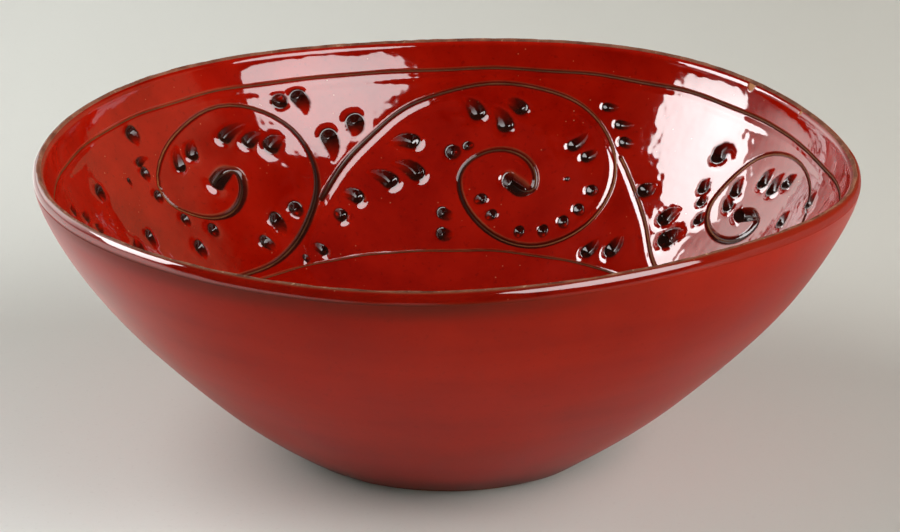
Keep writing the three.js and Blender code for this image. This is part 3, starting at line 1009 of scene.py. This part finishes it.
def satin_coat(material):
    """Satin glaze of the outside, which runs brown where it thins out under the lip and above the foot.

    Under the lip the brown is partly a painted shadow of the lip, and above the foot it is mostly painted
    shade.
    """
    slants = np.linspace(SATIN_START, WALL_LENGTH - SATIN_END, SATIN_ROWS)
    below_lip = 1 - ease(LIP_END, LIP_END + BROWN_REACH, slants)
    above_foot = 1 - ease(0, BASE_BROWN_AND_SHADE_REACH, WALL_LENGTH - slants)
    brown = below_lip[:, None] * brown_side(round_azimuths(TURNED_COLUMNS))
    marks = {"brown": np.maximum(brown, BASE_BROWN_AND_SHADE * above_foot[:, None])}
    depths = np.zeros(len(slants))
    rippled = ease(SATIN_START, SATIN_START + SEAM_CALM, slants)
    piece = outer_coat("outer_glaze_satin", slants, depths, rippled, SATIN_BACK, SATIN_RIPPLES, marks)
    dress(piece, material, "satin_red_glaze", "outer_glaze")


def lip_band(material):
    """Gloss band outside the rim, which fades into the satin and is dull on one side.

    Its profile is a quarter ellipse from the bare crown to the fullest place, and then eases into the wall.
    """
    turn = np.linspace(0, np.pi / 2, LIP_UPPER_ROWS)
    upper_slants = LIP_FULLEST_SLANT - (LIP_FULLEST_SLANT + LIP_TOP_RISE) * np.cos(turn)
    upper_depths = LIP_TOP_DEPTH - (LIP_TOP_DEPTH + LIP_BULGE) * np.sin(turn)
    lower_slants = np.linspace(LIP_FULLEST_SLANT, LIP_END, LIP_LOWER_ROWS)[1:]
    lower_depths = -LIP_BULGE + (LIP_BULGE + LIP_SINK) * ease(LIP_FULLEST_SLANT, LIP_END, lower_slants)
    slants = np.concatenate([upper_slants, lower_slants])
    depths = np.concatenate([upper_depths, lower_depths])
    azimuth = round_azimuths(TURNED_COLUMNS)
    dull = ease(*np.cos(np.radians(DULL_ANGLES)), np.cos(azimuth - np.radians(DULL_AZIMUTH)))
    rippled = 1 - ease(*LIP_GLOSS, slants)
    faded = 1 - rippled[:, None]
    marks = {
        "stain": LIP_DARK * (1 - faded),
        "ridge_and_highlight": 1 - ease(-LIP_TOP_RISE, LIP_BREAK - LIP_TOP_RISE, slants)[:, None],
        "matte": np.maximum((1 - LIP_LAST_GLOSS) * faded, DULL_MATTE * dull),
        # at its lower end the brown is partly a painted shadow of the lip
        "brown": np.maximum(faded * brown_side(azimuth), DULL_BROWN * dull),
        "satin": np.maximum(faded, DULL_SATIN * dull),
    }
    piece = outer_coat("lip_glaze_gloss", slants, depths, rippled, LIP_BACK, GLAZE_RIPPLES, marks)
    dress(piece, material, "gloss_red_glaze", "lip_glaze")


def in_groove(azimuth, slant, back):
    """Places just above the floor of the grooves, and below it in the part of the grid that is the back."""
    carving, _ = carve(azimuth, slant)
    cover = carving - unevenness(azimuth, slant, GLAZE_RIPPLES) - STAIN_PROUD
    cover[back] += STAIN_THICKNESS
    return placed(INSIDE.at(slant, -cover), azimuth)


def border_stain(node, line_slant, share, material):
    """Stain in a border line: a thin band that follows the floor of its groove all round."""
    face = np.linspace(0.5, -0.5, STAIN_FACE_POINTS)
    around = np.concatenate([face, np.linspace(-0.5, 0.5, BORDER_BACK_POINTS)])
    across, azimuth = round_grid(around * STAIN_WIDTH_SHARE * BORDER_HALF * share, BORDER_COLUMNS)
    _, down = shake(azimuth, line_slant)
    points = in_groove(azimuth, line_slant - across - down, np.s_[len(face) :])
    piece = turned_piece(f"{node}_stain", points, {"painted_light": np.full(azimuth.shape, BORDER_PAINTED_LIGHT)}, True)
    dress(piece, material, "iron_stain", node)


def scroll_stain(index, material):
    """Stain in a scroll's groove: a thin band along its line that follows the groove's floor."""
    plan = scroll_plan(index)
    cut = scroll_cut(plan)
    line = cut["line"]
    along = headings(line)
    side = np.stack([-along[:, 1], along[:, 0]], axis=1) * plan["upright"]
    face = np.linspace(-0.5, 0.5, STAIN_FACE_POINTS)
    around = np.concatenate([face, face[::-1]])
    reach = around * STAIN_WIDTH_SHARE * STROKE_HALF
    flat = line[:, None] + side[:, None] * reach[:, None]
    azimuth = np.radians(plan["azimuth"]) + flat[..., 0] / FRIEZE_RADIUS
    slant = plan["eye"] - flat[..., 1]
    sideways, down = shake(azimuth, slant)
    points = in_groove(azimuth - sideways, slant - down, np.s_[:, len(face) :])
    count = len(around)
    quads, places = grid_quads(len(line), count, True)
    start_cap = np.arange(count)[None]
    end_cap = (len(line) - 1) * count + start_cap[:, ::-1]
    faces = [block[:, ::-1] for block in (quads, start_cap, end_cap)]
    marks = {"painted_light": np.repeat(cut["painted_light"], count)}
    node = f"scroll_line_{index + 1}"
    piece = mesh_piece(f"{node}_stain", points.reshape(-1, 3), faces, places[:, ::-1], marks)
    dress(piece, material, "iron_stain", node)


# Colours and patterns of the materials; a pair of colours holds the two that a mask lies between
GLOSS_REDS = (colour(144, 12, 1), colour(166, 21, 5))
GLOSS_SPECK = colour(100, 8, 4)
PINHOLE_TAN = colour(206, 130, 96)
TAN_BREAK_AND_HIGHLIGHT = colour(150, 88, 58)
# tan where the glaze breaks on the crest of the lip, and a painted highlight on the lit edge of the lines
POOLED_STAIN = colour(36, 15, 9)
CHIPPED_CLAY = colour(196, 140, 100)
LIP_SATIN = colour(150, 30, 10)
SATIN_REDS = (colour(139, 24, 8), colour(153, 29, 10))
SATIN_STREAK = colour(172, 38, 14)
SATIN_SPECK = colour(110, 20, 10)
# brown of the thinned glaze under the lip, also the painted shadow there and the painted shade above the
# foot
SATIN_BROWN = colour(92, 30, 18)
CLAY_TANS = (colour(92, 46, 30), colour(142, 90, 68))
CLAY_GROG = colour(196, 156, 126)
STAIN_BROWNS = (colour(24, 9, 5), colour(150, 88, 46))  # painted shade where a stroke goes down, and painted light where it goes up and faces the light
PAPER_BEHIND = (colour(217, 217, 211), colour(198, 195, 187))  # painted light and shade of the paper behind the bowl, at the left and right
# painted light and shade of the paper in front of the bowl, at the left and right
PAPER_BEFORE = (colour(250, 254, 252), colour(206, 208, 201))
PAPER_SPECK = colour(180, 178, 172)
GLOW_TINTS = (colour(255, 253, 248), colour(255, 224, 170))  # at the left and right
WORLD_GREY = colour(236, 236, 236)
MOTTLE_SCALES = {"Cloud": 30, "Speck": 600, "Skin": 900}
CLOUD_RANGE = (0.35, 0.65)  # of the noise, between none and all
SPECK_RANGE = (0.62, 0.72)
STREAK_SCALE = (7, 7, 90)
STREAK_RANGE = (0.4, 0.65)
STREAK_SHARE = 0.3
PINHOLE_SCALE = 330
PINHOLE_RADII = (0.05, 0.11)  # of its cell, between which a pinhole ends
PINHOLE_CHANCE = (0.7, 0.75)  # cells with a greater random value than this have one


# Materials


def set_socket(tree, socket, value):
    """Links a socket to another one, or sets it to a constant."""
    if isinstance(value, bpy.types.NodeSocket):
        tree.links.new(value, socket)
    else:
        socket.default_value = value


def add_node(tree, kind, **inputs):
    """A shader node with its inputs set or linked by name."""
    made = tree.nodes.new(kind)
    for name, value in inputs.items():
        set_socket(tree, made.inputs[name.replace("_", " ")], value)
    return made


def mixed(tree, share, first, second):
    """A colour between two others, by a share."""
    made = tree.nodes.new("ShaderNodeMix")
    made.data_type = "RGBA"
    for number, value in ((0, share), (6, first), (7, second)):
        set_socket(tree, made.inputs[number], value)
    return made.outputs[2]


def rescaled(tree, value, low, high, new_low, new_high):
    """A value carried from one range to another."""
    made = tree.nodes.new("ShaderNodeMapRange")
    for socket, given in zip(made.inputs, (value, low, high, new_low, new_high)):
        set_socket(tree, socket, given)
    return made.outputs[0]


def calculated(tree, kind, operation, first, second):
    """The number that a shader operation makes of two numbers or vectors."""
    made = tree.nodes.new(kind)
    made.operation = operation
    for socket, value in zip(made.inputs, (first, second)):
        set_socket(tree, socket, value)
    return made.outputs["Value"]


def times(tree, first, second):
    """The product of two numbers."""
    return calculated(tree, "ShaderNodeMath", "MULTIPLY", first, second)


def greater(tree, first, second):
    """The greater of two numbers."""
    return calculated(tree, "ShaderNodeMath", "MAXIMUM", first, second)


def mesh_mark(tree, name):
    """A value that the mesh carries at each vertex."""
    made = tree.nodes.new("ShaderNodeAttribute")
    made.attribute_name = name
    return made.outputs["Fac"]


def object_place(tree):
    """The place of each point in its object, in metres."""
    return tree.nodes.new("ShaderNodeTexCoord").outputs["Object"]


def fired_mottle():
    """Group of the kiln's unevenness: broad clouds, small specks and the fine skin of the surface."""
    group = bpy.data.node_groups.new("fired mottle", "ShaderNodeTree")
    for name, scale in MOTTLE_SCALES.items():
        socket = group.interface.new_socket(f"{name} Scale", in_out="INPUT", socket_type="NodeSocketFloat")
        socket.default_value = scale
    for name in MOTTLE_SCALES:
        group.interface.new_socket(name, in_out="OUTPUT", socket_type="NodeSocketFloat")
    given = group.nodes.new("NodeGroupInput").outputs
    result = group.nodes.new("NodeGroupOutput").inputs
    place = object_place(group)

    def noise(name, **settings):
        scale = given[f"{name} Scale"]
        return add_node(group, "ShaderNodeTexNoise", Vector=place, Scale=scale, **settings).outputs[0]

    cloud = noise("Cloud", Detail=4.0, Roughness=0.6)
    speck = noise("Speck", Detail=2.0)
    group.links.new(rescaled(group, cloud, *CLOUD_RANGE, 0, 1), result["Cloud"])
    group.links.new(rescaled(group, speck, *SPECK_RANGE, 0, 1), result["Speck"])
    group.links.new(noise("Skin", Detail=3.0), result["Skin"])
    return group


MOTTLE = fired_mottle()


def new_material(name, cloud_scale, **fixed):
    """A material with the mottle group and with fixed values of its shader."""
    material = bpy.data.materials.new(name)
    material.use_nodes = True
    tree = material.node_tree
    mottle = tree.nodes.new("ShaderNodeGroup")
    mottle.node_tree = MOTTLE
    mottle.inputs["Cloud Scale"].default_value = cloud_scale
    shader = tree.nodes["Principled BSDF"]
    for socket, value in fixed.items():
        shader.inputs[socket.replace("_", " ")].default_value = value
    return material, tree, shader, mottle.outputs


def clouded(tree, mottle, low, high):
    """A value that the mottle's clouds vary between two others."""
    return rescaled(tree, mottle["Cloud"], 0, 1, low, high)


def patchy(tree, mottle, name, low, high):
    """A mark of the mesh times a share that the mottle's clouds vary."""
    return times(tree, mesh_mark(tree, name), clouded(tree, mottle, low, high))


def dotted(tree, under, over, dots, share):
    """A colour with dots of another one over it, which cover it by a share."""
    return mixed(tree, times(tree, dots, share), under, over)


def finish_material(tree, shader, mottle, surface_colour, roughness, skin_height):
    """Links the colour, a range of roughness, and a bump of the surface's skin with its height in mm."""
    bump = add_node(tree, "ShaderNodeBump", Height=mottle["Skin"], Strength=1.0, Distance=skin_height * MM)
    tree.links.new(surface_colour, shader.inputs["Base Color"])
    tree.links.new(clouded(tree, mottle, *roughness), shader.inputs["Roughness"])
    tree.links.new(bump.outputs[0], shader.inputs["Normal"])


def pinholes(tree):
    """Spots where the glaze has a pinhole: round the middles of a few of the cells of a cell pattern."""
    cells = add_node(tree, "ShaderNodeTexVoronoi", Vector=object_place(tree), Scale=PINHOLE_SCALE)
    near = rescaled(tree, cells.outputs["Distance"], *PINHOLE_RADII, 1, 0)
    chance = add_node(tree, "ShaderNodeSeparateColor", Color=cells.outputs["Color"])
    return times(tree, near, rescaled(tree, chance.outputs[0], *PINHOLE_CHANCE, 0, 1))


def gloss_glaze():
    """Deep red under a thick gloss coat, with darker specks and pale pinholes.

    It is tan where it breaks on the crest of the lip, and tan along the lit side of the lines as a painted
    highlight.
    It is brown to black where it pools over the stain, and satin red and brown at the lower end of the lip,
    the brown partly a painted shadow of the lip. The lines have less of the coat, and the chips have none.
    """
    material, tree, shader, mottle = new_material(
        "gloss red glaze", cloud_scale=45, Specular_IOR_Level=0, Coat_IOR=1.8, Coat_Roughness=0.05
    )
    red = mixed(tree, mottle["Cloud"], *GLOSS_REDS)
    red = dotted(tree, red, GLOSS_SPECK, mottle["Speck"], share=0.35)
    red = dotted(tree, red, PINHOLE_TAN, pinholes(tree), share=0.6)
    red = mixed(tree, patchy(tree, mottle, "ridge_and_highlight", low=0.35, high=0.85), red, TAN_BREAK_AND_HIGHLIGHT)
    layers = {"stain": POOLED_STAIN, "satin": LIP_SATIN, "brown": SATIN_BROWN, "chip": CHIPPED_CLAY}
    for name, layer in layers.items():
        red = mixed(tree, mesh_mark(tree, name), red, layer)
    finish_material(tree, shader, mottle, red, roughness=(0.5, 0.6), skin_height=0.004)
    tree.links.new(rescaled(tree, mesh_mark(tree, "matte"), 0, 1, 1, 0), shader.inputs["Coat Weight"])
    return material


def satin_glaze():
    """Satin red of the outside, with faint streaks and darker specks, and brown at the lip and the foot.

    The brown is partly a painted shadow at the lip, and mostly painted shade at the foot.
    """
    material, tree, shader, mottle = new_material(
        "satin red glaze", cloud_scale=25, IOR=1.5, Specular_IOR_Level=0.085
    )
    stretched = add_node(tree, "ShaderNodeMapping", Vector=object_place(tree), Scale=STREAK_SCALE)
    streak = add_node(tree, "ShaderNodeTexNoise", Vector=stretched.outputs[0], Scale=1.0, Detail=3.0)
    streaks = rescaled(tree, streak.outputs[0], *STREAK_RANGE, 0, STREAK_SHARE)
    red = mixed(tree, mottle["Cloud"], *SATIN_REDS)
    red = mixed(tree, streaks, red, SATIN_STREAK)
    red = dotted(tree, red, SATIN_SPECK, mottle["Speck"], share=0.25)
    red = mixed(tree, patchy(tree, mottle, "brown", low=0.6, high=1), red, SATIN_BROWN)
    finish_material(tree, shader, mottle, red, roughness=(0.3, 0.34), skin_height=0.006)
    return material


def bare_clay():
    """Tan biscuit clay with paler specks of grog."""
    material, tree, shader, mottle = new_material("biscuit clay", cloud_scale=160, Specular_IOR_Level=0.15)
    tan = mixed(tree, mottle["Cloud"], *CLAY_TANS)
    tan = dotted(tree, tan, CLAY_GROG, mottle["Speck"], share=0.4)
    finish_material(tree, shader, mottle, tan, roughness=(0.65, 0.85), skin_height=0.06)
    return material


def iron_stain():
    """Brown-black stain under a thin gloss, painted lighter brown in cloudy patches where its line faces
    the light.
    """
    material, tree, shader, mottle = new_material(
        "iron stain", cloud_scale=120, IOR=1.6, Specular_IOR_Level=0.1
    )
    brown = mixed(tree, patchy(tree, mottle, "painted_light", low=0.5, high=1), *STAIN_BROWNS)
    finish_material(tree, shader, mottle, brown, roughness=(0.45, 0.6), skin_height=0.01)
    return material


def paper_cove():
    """Pale grey paper, palest at the front left, and a little warmer and darker to the right.

    These changes of the paper's colour are painted light and shade.

    Reflections see its wall glow, most at one azimuth, its floor glow at the left, and the front dark.
    """
    material, tree, shader, mottle = new_material("paper cove", cloud_scale=3, Specular_IOR_Level=0.1)
    place = object_place(tree)
    right, back, height = add_node(tree, "ShaderNodeSeparateXYZ", Vector=place).outputs
    across = rescaled(tree, right, *PAPER_ACROSS, 0, 1)
    nearer = rescaled(tree, back, *PAPER_NEARER, 1, 0)
    grey = mixed(tree, nearer, mixed(tree, across, *PAPER_BEHIND), mixed(tree, across, *PAPER_BEFORE))
    grey = dotted(tree, grey, PAPER_SPECK, mottle["Speck"], share=0.1)
    finish_material(tree, shader, mottle, grey, roughness=(0.85, 0.95), skin_height=0.01)
    behind = rescaled(tree, back, *DARK_ROOM, 0, 1)
    in_front = rescaled(tree, back, *DARK_ROOM, 1, 0)
    on_wall = rescaled(tree, height, *WALL_START, 0, 1)
    on_floor = rescaled(tree, height, *WALL_START, 1, 0)
    below_top = rescaled(tree, height, *GLOW_TOP, 1, 0)
    at_left = rescaled(tree, right, *LEFT_FLOOR, 1, 0)
    left_floor = times(tree, times(tree, behind, on_floor), at_left)
    brightest = direction(GLOW_AZIMUTH, 0) / (COVE_FLOOR + COVE_ROUNDING) / MM
    near_brightest = calculated(tree, "ShaderNodeVectorMath", "DOT_PRODUCT", place, brightest)
    wall_glow = rescaled(tree, near_brightest, GLOW_EDGE, 1, COVE_GLOW, GLOW_PEAK)
    wall_glow = times(tree, times(tree, behind, below_top), wall_glow)
    strength = greater(tree, wall_glow, times(tree, left_floor, FLOOR_GLOW))
    tint = mixed(tree, across, *GLOW_TINTS)
    glow = add_node(tree, "ShaderNodeEmission", Color=tint, Strength=strength)
    seen_as_glow = greater(tree, greater(tree, in_front, on_wall), left_floor)
    is_reflection = tree.nodes.new("ShaderNodeLightPath").outputs["Is Glossy Ray"]
    chosen = tree.nodes.new("ShaderNodeMixShader")
    share = times(tree, is_reflection, seen_as_glow)
    for socket, value in zip(chosen.inputs, (share, shader.outputs[0], glow.outputs[0])):
        tree.links.new(value, socket)
    tree.links.new(chosen.outputs[0], tree.nodes["Material Output"].inputs["Surface"])
    return material


# Stage


def cove():
    """Floor that curves up into a wall all round: a flat disc, a quarter circle and an upright, turned."""
    turn = np.linspace(0, np.pi / 2, COVE_CURVE_ROWS)
    flat = np.stack([np.linspace(0, COVE_FLOOR, COVE_FLOOR_ROWS), np.zeros(COVE_FLOOR_ROWS)], axis=1)
    bend = COVE_ROUNDING * np.stack([np.sin(turn), 1 - np.cos(turn)], axis=1)
    curve = (COVE_FLOOR, 0) + bend
    line = np.vstack([flat[1:], curve[1:], [(COVE_FLOOR + COVE_ROUNDING, COVE_HEIGHT)]])
    radius, azimuth = round_grid(line[:, 0], COVE_COLUMNS)
    height, _ = round_grid(line[:, 1], COVE_COLUMNS)
    points = np.stack([radius * np.sin(azimuth), radius * np.cos(azimuth), height], axis=-1)
    quads, places = grid_quads(len(line), COVE_COLUMNS, True)
    floor_fan = fan(len(line) * COVE_COLUMNS, np.arange(COVE_COLUMNS))
    everything = np.vstack([points.reshape(-1, 3), (0, 0, 0)])
    piece = mesh_piece("cove", everything, [quads[:, ::-1], floor_fan[:, ::-1]], places, {})
    piece.data.materials.append(paper_cove())


def soft_light(name, light, shape):
    """A lamp for the diffuse light, and a card in its direction that only reflections see."""
    middle = np.array([0, 0, CAMERA_TARGET_HEIGHT])
    towards = direction(light["azimuth"], light["elevation"])
    lamp = bpy.data.objects.new(name, bpy.data.lights.new(name, "AREA"))
    lamp.data.shape = shape
    lamp.data.size = light["size"] * LAMP_DISTANCE * MM
    lamp.data.energy = light["power"]
    lamp.location = Vector((middle + LAMP_DISTANCE * towards) * MM)
    lamp.rotation_mode = "QUATERNION"
    lamp.rotation_quaternion = Vector(towards).to_track_quat("Z", "Y")
    lamp.visible_camera = False
    lamp.visible_glossy = False
    bpy.context.scene.collection.objects.link(lamp)
    reflected_card(f"{name}_card", light, middle)


def reflected_card(name, light, middle):
    """A flat glowing card, brightest in its middle, with corners where given directions meet its plane."""
    rays = np.array([direction(*corner) for corner in light["outline"]])
    towards = rays.mean(axis=0) / np.linalg.norm(rays.mean(axis=0))
    outline = middle + rays * CARD_DISTANCE / (rays @ towards)[:, None]
    centre = outline.mean(axis=0)
    count = len(outline)
    faces = [fan(count, np.arange(count))]
    card = mesh_piece(name, np.vstack([outline, centre]), faces, np.zeros((0, 2)), {})
    material = bpy.data.materials.new(name)
    material.use_nodes = True
    tree = material.node_tree
    tree.nodes.remove(tree.nodes["Principled BSDF"])
    away = calculated(tree, "ShaderNodeVectorMath", "DISTANCE", object_place(tree), centre * MM)
    reach = np.linalg.norm(outline - centre, axis=1).max() * MM
    strength = rescaled(tree, away, 0, reach, light["glow"], light["edge_glow"])
    glow = add_node(tree, "ShaderNodeEmission", Color=(1, 1, 1, 1), Strength=strength)
    tree.links.new(glow.outputs[0], tree.nodes["Material Output"].inputs["Surface"])
    card.data.materials.append(material)
    card.visible_camera = False
    card.visible_diffuse = False
    card.visible_transmission = False
    card.visible_shadow = False


def grey_world():
    """A dim, even light from all sides."""
    world = bpy.data.worlds.new("studio")
    bpy.context.scene.world = world
    world.use_nodes = True
    ground = world.node_tree.nodes["Background"]
    ground.inputs["Color"].default_value = WORLD_GREY
    ground.inputs["Strength"].default_value = WORLD_GLOW


def camera():
    """The camera on a circle about the target, with a small shift for the photograph's framing."""
    elevation = np.radians(CAMERA_ELEVATION)
    made = bpy.data.objects.new("camera", bpy.data.cameras.new("camera"))
    back = -CAMERA_DISTANCE * np.cos(elevation)
    above = CAMERA_TARGET_HEIGHT + CAMERA_DISTANCE * np.sin(elevation)
    made.location = Vector((0, back, above)) * MM
    made.rotation_euler = (np.radians(90 - CAMERA_ELEVATION), 0, 0)
    made.data.lens = CAMERA_LENS
    made.data.shift_x = SHIFT_X / FRAME_WIDTH
    made.data.shift_y = SHIFT_Y / FRAME_WIDTH
    made.data.clip_start = NEAREST_SEEN
    bpy.context.scene.collection.objects.link(made)
    bpy.context.scene.camera = made


GLOSS = gloss_glaze()
SATIN = satin_glaze()
CLAY = bare_clay()
STAIN = iron_stain()
clay_body(CLAY)
foot_ring(CLAY)
satin_coat(SATIN)
lip_band(GLOSS)
inner_panels(GLOSS)
well(GLOSS)
for border in BORDERS:
    border_stain(*border, STAIN)
for index in range(len(SCROLL_AZIMUTHS)):
    scroll_stain(index, STAIN)

cove()
soft_light("left_light", LEFT_LIGHT, "DISK")
soft_light("right_light", RIGHT_LIGHT, "SQUARE")
grey_world()
camera()
bpy.context.scene.view_settings.view_transform = "Standard"
